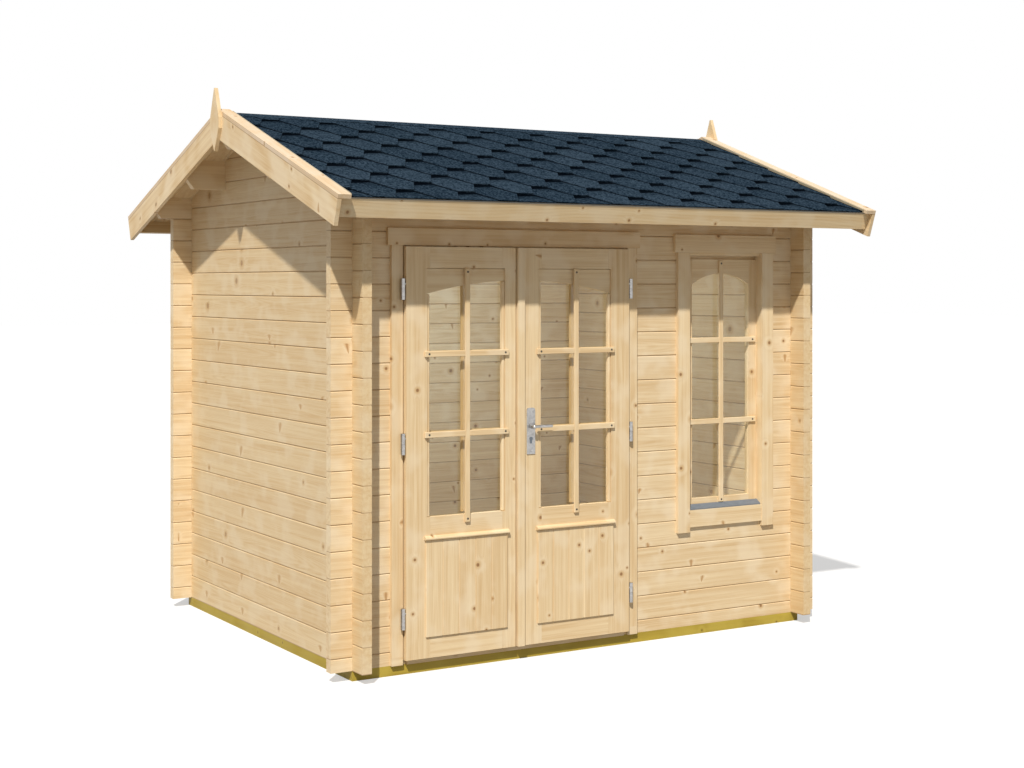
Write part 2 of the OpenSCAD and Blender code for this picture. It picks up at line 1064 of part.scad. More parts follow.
// Boards on the wall round the window
module window_casing() {
    left_in = window_x - window_half;
    right_in = window_x + window_half;
    low = window_bottom - window_casing_drop;
    apron_top = window_bottom + apron_lip;
    color(spruce) {
        block([left_in - window_casing_width, casing_face, low],
            [left_in, front_face - fit, window_top - joint]);
        block([right_in, casing_face, low],
            [right_in + window_casing_width, front_face - fit, window_top - joint]);
        block([left_in - window_casing_width - head_ear, casing_face, window_top],
            [right_in + window_casing_width + head_ear, front_face - fit,
                window_top + window_head_height]);
        block([left_in + joint, casing_face + apron_setback, apron_top - apron_height],
            [right_in - joint, front_face - fit, apron_top]);
    }
}

// The metal bar that throws rain off the bottom of the sash
module window_drip_bar() {
    left_in = window_x - window_half + joint;
    right_in = window_x + window_half - joint;
    low = window_bottom + apron_lip + fit;
    color(steel) {
        along_x(left_in, right_in) {
            polygon([
                [sash_front - fit, low],
                [sash_front - fit, low + drip_height],
                [sash_front - drip_edge, low + drip_height],
                [sash_front - drip_depth, low + drip_edge],
                [sash_front - drip_depth, low]
            ]);
        }
    }
}

base_beams_long();
base_beams_cross();
floor_boards();
front_wall_left();
front_wall_middle();
front_wall_sill();
front_wall_right();
front_wall_top();
back_wall();
left_wall();
right_wall();
eave_logs();
purlins();
roof_boards_front();
roof_boards_back();
roofing_front();
roofing_back();
fascias();
bargeboards();
verge_caps();
finials();
door_frame();
door_casing();
frame_hinges();
left_leaf_stiles();
left_leaf_rails();
left_leaf_arch();
left_leaf_panel();
left_leaf_glass();
left_leaf_hinges();
right_leaf_stiles();
right_leaf_rails();
right_leaf_arch();
right_leaf_panel();
right_leaf_glass();
right_leaf_hinges();
cover_strip();
lock_plates();
lever_handle();
window_frame();
window_sash();
window_glass();
window_casing();
window_drip_bar();
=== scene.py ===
import math
import random

import bmesh
import bpy
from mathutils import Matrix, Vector


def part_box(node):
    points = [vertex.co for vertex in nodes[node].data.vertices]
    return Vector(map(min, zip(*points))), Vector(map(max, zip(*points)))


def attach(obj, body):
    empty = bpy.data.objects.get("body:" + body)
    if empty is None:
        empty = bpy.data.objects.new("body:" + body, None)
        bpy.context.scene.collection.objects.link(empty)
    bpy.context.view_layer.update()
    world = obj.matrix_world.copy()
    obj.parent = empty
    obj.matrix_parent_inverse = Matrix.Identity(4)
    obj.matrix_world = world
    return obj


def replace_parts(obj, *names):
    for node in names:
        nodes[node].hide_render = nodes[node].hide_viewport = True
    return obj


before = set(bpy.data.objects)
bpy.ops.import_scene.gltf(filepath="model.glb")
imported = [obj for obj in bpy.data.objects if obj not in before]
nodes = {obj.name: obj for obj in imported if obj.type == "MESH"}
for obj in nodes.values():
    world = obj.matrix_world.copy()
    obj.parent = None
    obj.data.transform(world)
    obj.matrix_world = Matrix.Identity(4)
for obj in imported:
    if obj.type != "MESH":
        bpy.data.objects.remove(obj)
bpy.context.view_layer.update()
scene = bpy.context.scene
scene.view_settings.view_transform = "Standard"

# The viewpoint is eye height off the front left corner, looking level so that uprights stay upright.
# The frame is slid a little to place the cabin as in the picture.
camera = bpy.data.objects.new("camera", bpy.data.cameras.new("camera"))
camera.location = (-4.2902, -7.5165, 1.6998)
camera.rotation_euler = (math.radians(90), 0, math.radians(-31.97))
camera.data.lens = 58.69
camera.data.shift_x = -0.0386
camera.data.shift_y = -0.0978
scene.collection.objects.link(camera)
scene.camera = camera

# Plain daylight: one soft sun from over the viewer's left shoulder, and an even pale sky.
# A soft lamp lifts the room inside. What the eye or a mirror meets of the sky is white.
SUNBEAM = Vector((0.4207, 0.4998, -0.7572))
SKY_LIGHT, SKY_SEEN = 0.36, 1.0
sun = bpy.data.objects.new("sun", bpy.data.lights.new("sun", "SUN"))
sun.data.energy = 4.1
sun.data.angle = math.radians(1.5)
sun.data.color = (1.0, 0.97, 0.92)
sun.rotation_mode = "QUATERNION"
sun.rotation_quaternion = SUNBEAM.to_track_quat("-Z", "Y")
scene.collection.objects.link(sun)

room_lamp = bpy.data.objects.new("room_lamp", bpy.data.lights.new("room_lamp", "POINT"))
room_lamp.data.energy = 25.0
room_lamp.data.color = (0.66, 0.83, 1.0)
room_lamp.data.shadow_soft_size = 0.35
room_lamp.location = (0.0, 0.0, 1.5)
room_lamp.visible_camera = False
room_lamp.visible_glossy = False
room_lamp.visible_transmission = False
scene.collection.objects.link(room_lamp)


class Tone:
    """A number, colour or vector inside a material. Sums written on it lay down the nodes."""

    def __init__(self, tree, socket=None):
        self.tree = tree
        self.socket = socket

    def node(self, kind, settings=(), sockets=(), out=0):
        node = self.tree.nodes.new(kind)
        for name, value in dict(settings).items():
            setattr(node, name, value)
        for name, value in dict(sockets).items():
            if isinstance(value, Tone):
                self.tree.links.new(value.socket, node.inputs[name])
            else:
                node.inputs[name].default_value = value
        return Tone(self.tree, node.outputs[out])

    def of(self, out):
        return Tone(self.tree, self.socket.node.outputs[out])

    def math(self, operation, *others):
        return self.node("ShaderNodeMath", {"operation": operation}, enumerate((self, *others)))

    def __add__(self, other):
        return self.math("ADD", other)

    def __mul__(self, other):
        return self.math("MULTIPLY", other)

    def __sub__(self, other):
        return self.math("SUBTRACT", other)

    def __truediv__(self, other):
        return self.math("DIVIDE", other)

    def __pow__(self, other):
        return self.math("POWER", other)

    def __gt__(self, other):
        return self.math("GREATER_THAN", other)

    def __lt__(self, other):
        return self.math("LESS_THAN", other)

    def __abs__(self):
        return self.math("ABSOLUTE")

    def __rsub__(self, other):
        return self * -1.0 + other

    __radd__ = __add__
    __rmul__ = __mul__

    def split(self):
        parts = self.node("ShaderNodeSeparateXYZ", sockets={0: self})
        return parts, parts.of(1), parts.of(2)

    def join(self, *others):
        return self.node("ShaderNodeCombineXYZ", sockets=enumerate((self, *others)))

    def noise(self, detail=2.0):
        return self.node("ShaderNodeTexNoise", sockets={"Vector": self, "Scale": 1.0, "Detail": detail})

    def ease(self, low, high):
        ends = {"Value": self, "From Min": low, "From Max": high}
        return self.node("ShaderNodeMapRange", {"interpolation_type": "SMOOTHSTEP"}, ends)

    def choose(self, start, end):
        return start + self * (end - start)

    def blend(self, start, end):
        ends = [c if isinstance(c, Tone) else (*c, 1.0) for c in (start, end)]
        return self.node("ShaderNodeMix", {"data_type": "RGBA"}, {0: self, 6: ends[0], 7: ends[1]}, out=2)


def looked_at(tree):
    """1 where a surface is met by the eye, a mirror or clear glass, and 0 where it only lends light."""
    ray = Tone(tree).node("ShaderNodeLightPath", out="Is Camera Ray")
    return ray.math("MAXIMUM", ray.of("Is Glossy Ray")).math("MAXIMUM", ray.of("Is Transmission Ray"))


def wire(shader, sockets):
    """Sets the sockets of a shader, and links those that vary over a surface."""
    for name, value in sockets.items():
        if isinstance(value, Tone):
            value.tree.links.new(value.socket, shader.inputs[name])
        else:
            shader.inputs[name].default_value = value


scene.world = bpy.data.worlds.new("sky")
scene.world.use_nodes = True
sky = scene.world.node_tree
brightness = looked_at(sky).choose(SKY_LIGHT, SKY_SEEN)
wire(sky.nodes["Background"], {"Strength": brightness, "Color": (1.0, 1.0, 1.0, 1.0)})

# The studio floor: a wide sheet of matt paper under the cabin. It reads as white, lends the cabin
# little light and keeps its shadow.
FLOOR_REACH = 60.0
paper = bpy.data.materials.new("floor_paper")
paper.use_nodes = True
eye = looked_at(paper.node_tree)
matt = eye.node("ShaderNodeBsdfDiffuse", sockets={"Color": (0.3, 0.3, 0.3, 1.0)})
pale = eye.node("ShaderNodeBsdfDiffuse", sockets={"Color": (0.5, 0.5, 0.5, 1.0)})
glow = eye.node("ShaderNodeEmission", sockets={"Color": (1.0, 1.0, 1.0, 1.0), "Strength": 0.48})
lifted = eye.node("ShaderNodeAddShader", sockets={0: pale, 1: glow})
mixed = eye.node("ShaderNodeMixShader", sockets={0: eye, 1: matt, 2: lifted})
wire(paper.node_tree.nodes["Material Output"], {"Surface": mixed})
ground = bmesh.new()
bmesh.ops.create_grid(ground, x_segments=8, y_segments=8, size=FLOOR_REACH)
floor_mesh = bpy.data.meshes.new("studio_floor")
ground.to_mesh(floor_mesh)
ground.free()
floor_mesh.materials.append(paper)
studio_floor = bpy.data.objects.new("studio_floor", floor_mesh)
scene.collection.objects.link(studio_floor)

# Base beams: sawn softwood, green-brown from pressure treatment, laid flat under every wall.
# Timber is described once here, for all the wood that follows: rings, fibre and knots.
KNOT_STEP, KNOT_ROW = 0.24, 0.08
RING_WIDTH = 0.0046
SPIKE_CORE = (0.36, 0.165, 0.055)


def new_finish(name):
    """A finish, its shader, and the place of a point on the piece that wears it."""
    finish = bpy.data.materials.new(name)
    finish.use_nodes = True
    spot = Tone(finish.node_tree).node("ShaderNodeTexCoord", out="Object")
    return finish, finish.node_tree.nodes["Principled BSDF"], spot


def timber(name, cut, early, pale, late, core, knots=0.36, spikes=0.06, swell=1.0, seam=0.0, clear=9.0):
    """Planed softwood. cut turns a point into run along the grain, across, depth and board number;
    every row of boards counts from a number of its own. knots is how many there are, spikes the
    share cut lengthways and swell their girth. seam is the way down to a joint that gathers shadow,
    and no knot lies further along than clear."""
    finish, wood, place = new_finish(name)
    run, across, depth, board = cut(*place.split())
    luck = board.node("ShaderNodeTexWhiteNoise", {"noise_dimensions": "1D"}, {"W": board * 0.731 + 0.37}, 1)
    tint, turn, start = luck.split()
    there = abs(run) < clear
    run = run + start * 17.0

    u = run / KNOT_STEP
    v = across / KNOT_ROW + turn * 31.0
    knot = u.node(
        "ShaderNodeTexVoronoi",
        {"voronoi_dimensions": "2D"},
        {"Vector": u.join(v), "Scale": 1.0, "Randomness": 0.9},
        "Position",
    )
    chance, size, form = knot.of("Color").split()
    knot_u, knot_v, _ = knot.split()
    fibre = (run * 7.0).join(across * 420.0, depth * 420.0).noise(2.0)
    long = (u - knot_u) * KNOT_STEP
    wide = (v - knot_v) * KNOT_ROW
    girth = (size * size * 0.004 + 0.0028) * swell
    round_knot = ((long * long + wide * wide) ** 0.5) / (girth * 1.5)
    reach = wide / (size * 0.016 + 0.012)
    taper = (reach * 0.42 + 0.58).math("MAXIMUM", 0.1) * 0.0075 * swell
    spike_knot = abs(long + wide * (size - 0.5) * 0.7) / taper + abs(reach) ** 5.0
    spike = form > 1.0 - spikes
    away = spike.choose(round_knot, spike_knot) * (fibre * 0.7 + 0.65)
    there = there * (chance < knots)
    heart = there * away.ease(1.3, 0.6)
    rim = there * away.ease(3.2, 1.0)
    flow = there * away.ease(7.0, 0.5)

    sway = (run * 0.8).join(board * 5.1).noise(1.0).of(1)
    sway_across, sway_deep, _ = sway.split()
    side = across + (turn - 0.5) * 0.06 + (sway_across - 0.5) * 0.07
    deep = depth + start * 0.05 + (sway_deep - 0.5) * 0.06 + 0.012
    streak = (run * 1.3).join(across * 60.0 + board * 3.7, depth * 60.0).noise(4.0)
    blotch = (run * 6.0).join(across * 7.0 + board * 7.3, depth * 7.0).noise(2.0)
    rings = ((side * side + deep * deep) ** 0.5) / RING_WIDTH + flow * 1.1 + fibre * 0.7
    ring = ((rings * math.tau).math("SINE") * 0.5 + 0.5) ** 2.0

    shade = ring * 0.17 + (streak - 0.5) * 1.2 + (fibre - 0.5) * 0.4 + (tint - 0.5) * 0.2 + 0.24
    colour = shade.blend(early, late)
    colour = (blotch.ease(0.46, 0.66) * 0.5).blend(colour, pale)
    colour = (flow * (1.0 - rim) * 0.5).blend(colour, pale)
    colour = (rim * 0.5).blend(colour, late)
    strength = spike.choose(0.8, 0.6) * (1.4 / (swell + 0.4))
    colour = (heart * strength).blend(colour, spike.blend(core, SPIKE_CORE))
    if seam:
        colour = ((across * -1.0).ease(seam - 0.0052, seam - 0.0012) * 0.6).blend(colour, core)

    height = ring * 0.35 + fibre * 0.5 - heart * 0.3
    bump = height.node("ShaderNodeBump", sockets={"Height": height, "Strength": 0.25, "Distance": 0.0012})
    wire(wood, {"Base Color": colour, "Roughness": ring * 0.1 + 0.5, "Normal": bump})
    wire(wood, {"Specular IOR Level": 0.3})
    return finish


SPRUCE = {
    "early": (0.80, 0.63, 0.39),
    "pale": (0.82, 0.68, 0.475),
    "late": (0.56, 0.35, 0.15),
    "core": (0.22, 0.095, 0.03),
}
TREATED = {
    "early": (0.49, 0.362, 0.048),
    "pale": (0.52, 0.40, 0.072),
    "late": (0.32, 0.218, 0.028),
    "core": (0.12, 0.07, 0.015),
}
# The side beams wear a darker palette: partly painted shade, partly a difference between batches of treated
# wood.
CROSS_TREATED = {**TREATED, "early": (0.415, 0.30, 0.028), "pale": (0.44, 0.33, 0.042)}
BEAM_AXIS = 0.022
FRONT_BEAM_JOINT = -0.403


def dress(finish, *names):
    """Gives nodes of the frame their finish."""
    for name in names:
        nodes[name].data.materials.clear()
        nodes[name].data.materials.append(finish)


def long_beam_cut(x, y, z):
    return x, z - BEAM_AXIS, abs(y), (y > 0) + (x > FRONT_BEAM_JOINT) * 2


def cross_beam_cut(x, y, z):
    return y, z - BEAM_AXIS, x, (x * 2.0).math("ROUND") + 9


dress(timber("treated_beam_long", long_beam_cut, **TREATED), "base_beams_long")
dress(timber("treated_beam_cross", cross_beam_cut, **CROSS_TREATED), "base_beams_cross")

# Floor: planed tongue-and-groove spruce boards, laid lengthways and nailed to the base beams.
# Planks are made here for every board, bar and strip that follows.
FLOOR_ROWS = 20
FLOOR_ARRIS = 0.0015
floor_low, floor_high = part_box("floor_boards")
floor_width = (floor_high[1] - floor_low[1]) / FLOOR_ROWS


def boards(place, first, width):
    """Which board of a row a point is in, and how far it is from the middle of that board."""
    count = ((place - first) / width).math("FLOOR")
    return count, place - first - (count + 0.5) * width


def plank(shape, low, high, edge):
    """A planed plank from corner to corner, with its arrises taken off. Gives its corners."""
    low, high = Vector(low), Vector(high)
    corners = bmesh.ops.create_cube(shape, size=1.0)["verts"]
    for corner in corners:
        for axis in range(3):
            corner.co[axis] = low[axis] + (corner.co[axis] + 0.5) * (high[axis] - low[axis])
    arrises = list({line for corner in corners for line in corner.link_edges})
    return bmesh.ops.bevel(shape, geom=arrises, offset=edge, segments=1, affect="EDGES")["verts"]


def make(name, shape, finish, body):
    """A finished piece from its mesh work, riding on a body of the cabin."""
    mesh = bpy.data.meshes.new(name)
    bmesh.ops.recalc_face_normals(shape, faces=shape.faces)
    shape.to_mesh(mesh)
    shape.free()
    mesh.materials.append(finish)
    piece = bpy.data.objects.new(name, mesh)
    scene.collection.objects.link(piece)
    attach(piece, body)
    return piece


def floor_cut(x, y, z):
    board, across = boards(y, floor_low[1], floor_width)
    return x, across, z, board + 300


laid = bmesh.new()
for row in range(FLOOR_ROWS):
    near = floor_low[1] + row * floor_width
    far = near + floor_width
    plank(laid, (floor_low[0], near, floor_low[2]), (floor_high[0], far, floor_high[2]), FLOOR_ARRIS)
floor = make("floor_planks", laid, timber("floor_spruce", floor_cut, **SPRUCE), "cabin")
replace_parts(floor, "floor_boards")

# Log walls: planed spruce logs, cross-lapped at the corners so that front and side courses
# stand half a log apart, each log its own tree with its own tone and knots.
COURSE = 0.114
FRONT_FOOT, SIDE_FOOT = -0.012, 0.045
FRONT_FACE, SIDE_FACE = 1.012, 1.235
# Front logs wear a paler palette and side logs a darker one: painted light and shade, not a difference in
# the wood.
FRONT_LIT_SPRUCE = {**SPRUCE, "early": (0.81, 0.65, 0.415), "pale": (0.84, 0.71, 0.51)}
SIDE_SHADED_SPRUCE = {**SPRUCE, "early": (0.745, 0.58, 0.347), "pale": (0.765, 0.625, 0.42)}
FRONT_KNOTS = {"spikes": 0.2, "clear": 1.31}
SIDE_KNOTS = {"knots": 0.16, "spikes": 0.6, "swell": 1.7, "clear": 1.09}


def front_cut(x, y, z):
    course, across = boards(z, FRONT_FOOT, COURSE)
    return x, across, FRONT_FACE - abs(y), course + (y > 0) * 50


def side_cut(x, y, z):
    course, across = boards(z, SIDE_FOOT, COURSE)
    return y, across, SIDE_FACE - abs(x), course + (x > 0) * 50 + 100


front_spruce = timber("front_logs", front_cut, **FRONT_LIT_SPRUCE, **FRONT_KNOTS, seam=COURSE / 2)
side_spruce = timber("side_logs", side_cut, **SIDE_SHADED_SPRUCE, **SIDE_KNOTS, seam=COURSE / 2)
dress(front_spruce, "front_wall_left", "front_wall_middle", "front_wall_sill", "front_wall_right")
dress(front_spruce, "front_wall_top", "back_wall", "eave_logs")
dress(side_spruce, "left_wall", "right_wall")

# Purlins: a ridge beam and one beam halfway up each slope, planed from spruce and carried by
# the gable logs at both ends.
PURLIN_STEP, PURLIN_LEVEL = 0.5, 2.3


def purlin_cut(x, y, z):
    beam, across = boards(y, -1.5 * PURLIN_STEP, PURLIN_STEP)
    return x, z - PURLIN_LEVEL, across, beam + 200


dress(timber("purlin_spruce", purlin_cut, **SPRUCE), "purlins")

# Roof boards: tongue-and-groove spruce nailed across the purlins, running down each slope.
# Their edges are eased, so the joints show as lines under the eaves.
PITCH = math.radians(19)
RIDGE = 2.48246
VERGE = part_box("roof_boards_front")[1][0]
SLOPES = ((-1, "front"), (1, "back"))
ROOF_ROWS, ROOF_FOOT, ROOF_THICK, ROOF_ARRIS = 30, 1.3707, 0.018, 0.0025
roof_width = 2 * VERGE / ROOF_ROWS


def on_slope(side, x, down, up):
    """A point on a roof slope, by its way down from the ridge and its height off the boards' underside."""
    y = down * math.cos(PITCH) + up * math.sin(PITCH)
    return Vector((x, side * y, RIDGE - down * math.sin(PITCH) + up * math.cos(PITCH)))


def lay(side, corners):
    """Takes corners worked flat, as x, way down and height, to their place on a slope."""
    for corner in corners:
        corner.co = on_slope(side, *corner.co)


def roof_cut(x, y, z):
    board, across = boards(x, -VERGE, roof_width)
    return abs(y), across, z, board + (y > 0) * 40 + 400


roof_spruce = timber("roof_spruce", roof_cut, **SPRUCE)
for side, name in SLOPES:
    laid = bmesh.new()
    for row in range(ROOF_ROWS):
        left = row * roof_width - VERGE
        plank(laid, (left, 0.0, 0.0), (left + roof_width, ROOF_FOOT, ROOF_THICK), ROOF_ARRIS)
    lay(side, laid.verts)
    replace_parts(make(f"roof_planks_{name}", laid, roof_spruce, "cabin"), f"roof_boards_{name}")

# Fascias along the eaves, bargeboards and caps along the gable edges, and the pointed boards
# that close the bargeboards at the ridge: planed spruce, nailed on.
SLOPE = math.tan(PITCH)
FASCIA_LEVEL, BARGE_LEVEL, CAP_MIDDLE = 2.03, 2.44, 1.413
BARGE_SEAM = 0.0678
CAP_SPRUCE = {**SPRUCE, "early": (0.70, 0.555, 0.385), "pale": (0.72, 0.59, 0.455)}


def fascia_cut(x, y, z):
    return x, z - FASCIA_LEVEL, abs(y), (y > 0) + 7


def barge_cut(x, y, z):
    return abs(y), BARGE_LEVEL - z - abs(y) * SLOPE, abs(x), (x > 0) * 2 + (y > 0) + 11


def cap_cut(x, y, z):
    return abs(y), abs(x) - CAP_MIDDLE, z + abs(y) * SLOPE, (x > 0) * 2 + (y > 0) + 17


def finial_cut(x, y, z):
    return z, y, abs(x), (x > 0) + 23


# The fascias wear the darker side palette, painted shade.
dress(timber("fascia_spruce", fascia_cut, **SIDE_SHADED_SPRUCE), "fascias")
dress(timber("barge_spruce", barge_cut, **SPRUCE, seam=BARGE_SEAM), "bargeboards")
dress(timber("cap_spruce", cap_cut, **CAP_SPRUCE), "verge_caps")
dress(timber("finial_spruce", finial_cut, **SPRUCE), "finials")

# Roof covering: bitumen felt faced with crushed slate, cut to six-sided tabs. Each course laps
# the one below. A dark band under the foot of each course is partly printed granules and partly
# painted shade, and painted shadow lines run down the tab edges and along the verges. Folded
# strips of the same felt close the ridge.
TAB, EXPOSURE, FOOT, SLANT, FELT = 0.2955, 0.1304, 0.084, 0.06375, 0.003
EAVE, CUT_OFF, TOP_GAP, SIDE = 1.4005, 1.3930, 0.004, VERGE - 0.0515
FELT_BED = 0.024
FIRST_TAB = -0.05
COURSE_TOP = 2 * EXPOSURE + 0.015
LIFT = 2.15 * FELT
SLATE_DULL, SLATE_BRIGHT = (0.006, 0.014, 0.0245), (0.0385, 0.0615, 0.0885)
SLATE_SHADOW = (0.0006, 0.0012, 0.0026)
RIDGE_CAPS, CAP_REACH, CAP_FOOT, CAP_CREST = 9, 0.06, 0.0292, 0.0273
CAP_FELT, CAP_GAP = 0.0009, 0.0004

slate, granules, spot = new_finish("slate_granules")
tab = spot.node("ShaderNodeAttribute", {"attribute_name": "tab"}, out="Vector")
tab_x, tab_up, tab_luck = tab.split()
grit = spot.node("ShaderNodeTexVoronoi", sockets={"Vector": spot, "Scale": 420.0})
grit_tone = grit.of("Color").split()[0]
speckle = spot.node("ShaderNodeTexVoronoi", sockets={"Vector": spot, "Scale": 140.0}).of("Color").split()[1]
patch = spot.node("ShaderNodeTexNoise", sockets={"Vector": spot, "Scale": 9.0, "Detail": 3.0})
below = 2 * EXPOSURE - tab_up
slant = below * (SLANT / EXPOSURE) + FOOT / 2
# Dark band under the foot of each course: partly the printed granule band, partly painted shade.
band_and_shade = (below + tab_x * 0.2 + (patch - 0.5) * 0.016).ease(0.047, 0.026)
taper = (0.034 - below * 0.16).math("MAXIMUM", 0.012)
# Painted shadow lines down the slanted tab edges, wide on the right and faint on the left.
right_edge_shadow = (slant - tab_x).ease(taper, taper * 0.45)
left_edge_shadow = (slant + tab_x).ease(0.008, 0.003) * 0.4
line = right_edge_shadow.math("MAXIMUM", left_edge_shadow)
# A painted shadow line along the ends of the shingles at each verge.
verge_edge_shadow = abs(spot.split()[0]).ease(VERGE - 0.064, VERGE - 0.056)
dark = (band_and_shade * 0.96).math("MAXIMUM", verge_edge_shadow).math("MAXIMUM", line * 0.9)
# Painted shade that fades down from the foot of the course above.
dark = dark.math("MAXIMUM", below.ease(0.1, 0.02) * 0.45)
rubbed = grit_tone * 0.4 + speckle * 1.2 + patch * 0.25 + (tab_luck - 0.5) * 0.35 - 0.44
crushed = dark.blend(rubbed.blend(SLATE_DULL, SLATE_BRIGHT), SLATE_SHADOW)
grit_bump = grit.node("ShaderNodeBump", sockets={"Height": grit, "Strength": 0.5, "Distance": 0.0015})
wire(granules, {"Base Color": crushed, "Roughness": grit_tone * 0.15 + 0.75, "Normal": grit_bump})
wire(granules, {"Specular IOR Level": 0.0})


def trim(outline, axis, limit, keep):
    """What is left of an outline after a straight cut: keep is -1 to keep below the limit, 1 above."""
    kept = []
    for place, here in enumerate(outline):
        last = outline[place - 1]
        inside, before = (here[axis] - limit) * keep >= 0, (last[axis] - limit) * keep >= 0
        if inside != before:
            part = (limit - last[axis]) / (here[axis] - last[axis])
            kept.append(tuple(a + (b - a) * part for a, b in zip(last, here)))
        if inside:
            kept.append(here)
    return kept


def close(shape, near, far):
    """A solid between two like outlines."""
    shape.faces.new(near)
    shape.faces.new(far)
    for place in range(len(near)):
        shape.faces.new((near[place - 1], near[place], far[place], far[place - 1]))


def felt(shape, marks, side, outline, foot, middle, luck):
    """One tab of felt as a thin solid on the slope, its lower edge raised over the courses below."""
    rings = []
    for thick in (0.0, FELT):
        ring = []
        for x, up in outline:
            lapped = max(0.0, 1 - up / (2 * EXPOSURE)) * min(1.0, (foot - up) * 4)
            corner = shape.verts.new(on_slope(side, x, foot - up, FELT_BED + LIFT * lapped + thick))
            corner[marks] = (x - middle, up, luck)
            ring.append(corner)
        rings.append(ring)
    close(shape, *rings)


cutter = random.Random(4)
half, arm = FOOT / 2, FOOT / 2 + SLANT
for side, name in SLOPES:
    courses = bmesh.new()
    marks = courses.verts.layers.float_vector.new("tab")
    for row in range(-1, 11):
        foot = EAVE - row * EXPOSURE
        for count in range(-5, 6):
            middle = (count + 0.5 * (row % 2)) * TAB + FIRST_TAB
            outline = [
                (middle - half, 0.0),
                (middle + half, 0.0),
                (middle + arm, EXPOSURE),
                (middle + TAB / 2, EXPOSURE),
                (middle + TAB / 2, COURSE_TOP),
                (middle - TAB / 2, COURSE_TOP),
                (middle - TAB / 2, EXPOSURE),
                (middle - arm, EXPOSURE),
            ]
            outline = trim(trim(outline, 0, -SIDE, 1), 0, SIDE, -1)
            outline = trim(trim(outline, 1, foot - TOP_GAP, -1), 1, foot - CUT_OFF, 1)
            if len(outline) > 2:
                felt(courses, marks, side, outline, foot, middle, cutter.random())
    make(f"shingles_{name}", courses, slate, "cabin")

ridge = bmesh.new()
marks = ridge.verts.layers.float_vector.new("tab")
for count in range(RIDGE_CAPS):
    rings = []
    start, end = [(2 * step / RIDGE_CAPS - 1) * SIDE for step in (count, count + 1)]
    for x in (start + CAP_GAP, end - CAP_GAP):
        crest = Vector((x, 0.0, RIDGE + CAP_CREST / math.cos(PITCH)))
        under = [on_slope(-1, x, CAP_REACH, CAP_FOOT), crest, on_slope(1, x, CAP_REACH, CAP_FOOT)]
        over = [fold + Vector((0, 0, CAP_FELT)) for fold in reversed(under)]
        rings.append([ridge.verts.new(place) for place in under + over])
    luck = cutter.random()
    for corner in rings[0] + rings[1]:
        corner[marks] = (0.0, 0.1, luck)
    close(ridge, *rings)
make("ridge_felt", ridge, slate, "cabin")

# Verge laths: slim spruce laths along the inside of each cap, nailed through the felt
# to hold its edge down. Their dark grey-brown palette is painted shade along the inside of each cap.
LATH_INSET, LATH_WIDTH, LATH_ARRIS = 0.0422, 0.009, 0.001
LATH_HEAD, LATH_FOOT = 0.012, 1.3925
LATH_LOW, LATH_TOP = 0.0243, 0.0412
LATH_MIDDLE = 1.39
LATH_SHADE_SPRUCE = {
    "early": (0.42, 0.36, 0.25),
    "pale": (0.46, 0.4, 0.3),
    "late": (0.28, 0.22, 0.13),
    "core": (0.14, 0.08, 0.04),
}


def lath_cut(x, y, z):
    return abs(y), abs(x) - LATH_MIDDLE, z + abs(y) * SLOPE, (x > 0) * 2 + (y > 0) + 27


laid = bmesh.new()
for side, _ in SLOPES:
    for left in (LATH_INSET - VERGE, VERGE - LATH_INSET - LATH_WIDTH):
        low, high = (left, LATH_HEAD, LATH_LOW), (left + LATH_WIDTH, LATH_FOOT, LATH_TOP)
        lay(side, plank(laid, low, high, LATH_ARRIS))
make("verge_laths", laid, timber("lath_spruce", lath_cut, **LATH_SHADE_SPRUCE, knots=0.1), "cabin")

# Underlay: the bitumen sheet nailed on the boards under the tabs, which shows as a thin grey
# edge at the eaves.
SHEET_HEAD, SHEET_FOOT, SHEET_LOW, SHEET_ARRIS = 0.008, 1.3889, 0.0183, 0.0006
bitumen, tar, spot = new_finish("bitumen_sheet")
pores = spot.node("ShaderNodeTexNoise", sockets={"Vector": spot, "Scale": 260.0, "Detail": 3.0})
tar_tone = pores.blend((0.20, 0.18, 0.15), (0.40, 0.37, 0.31))
tar_bump = pores.node("ShaderNodeBump", sockets={"Height": pores, "Strength": 0.4, "Distance": 0.001})
wire(tar, {"Base Color": tar_tone, "Roughness": pores * 0.3 + 0.6, "Normal": tar_bump})
for side, name in SLOPES:
    laid = bmesh.new()
    plank(laid, (-VERGE, SHEET_HEAD, SHEET_LOW), (VERGE, SHEET_FOOT, FELT_BED), SHEET_ARRIS)
    lay(side, laid.verts)
    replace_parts(make(f"underlay_{name}", laid, bitumen, "cabin"), f"roofing_{name}")

# Door frame and casing: planed spruce jambs, head and threshold set in the opening, with flat
# casings nailed round it outside. Grain runs up the uprights and along the heads.
DOOR_MIDDLE, JAMB_MIDDLE = -0.41, 0.605
DOOR_HEAD, DOOR_SILL, DOOR_LEVEL = 1.868, 0.0815, 1.9


def turned(level, upright, lying):
    """A cut that follows uprights where level is 0 and lying pieces where it is 1."""
    return [level.choose(a, b) for a, b in zip(upright, lying)]


def door_cut(x, y, z):
    level = (z > DOOR_HEAD).math("MAXIMUM", z < DOOR_SILL)
    upright = (z, abs(x - DOOR_MIDDLE) - JAMB_MIDDLE, y, (x > DOOR_MIDDLE) + 31)
    return turned(level, upright, (x, z - DOOR_LEVEL, y, (z > 1) + 41))


dress(timber("door_frame_spruce", door_cut, **SPRUCE), "door_frame", "door_casing")

# Door leaves: spruce stiles and rails tenoned together, with arched boards filling the heads.
# The two leaves form one wide arch, and a cover strip closes the joint between them.
LEAF_FRONT = -1.05
MEETING = -0.441
STILES = (-0.9375, -0.4795, -0.372, 0.1175)
LEFT_PANE, RIGHT_PANE = -0.7, -0.1
RAIL_FOOT, RAIL_STEP = -0.17, 0.57


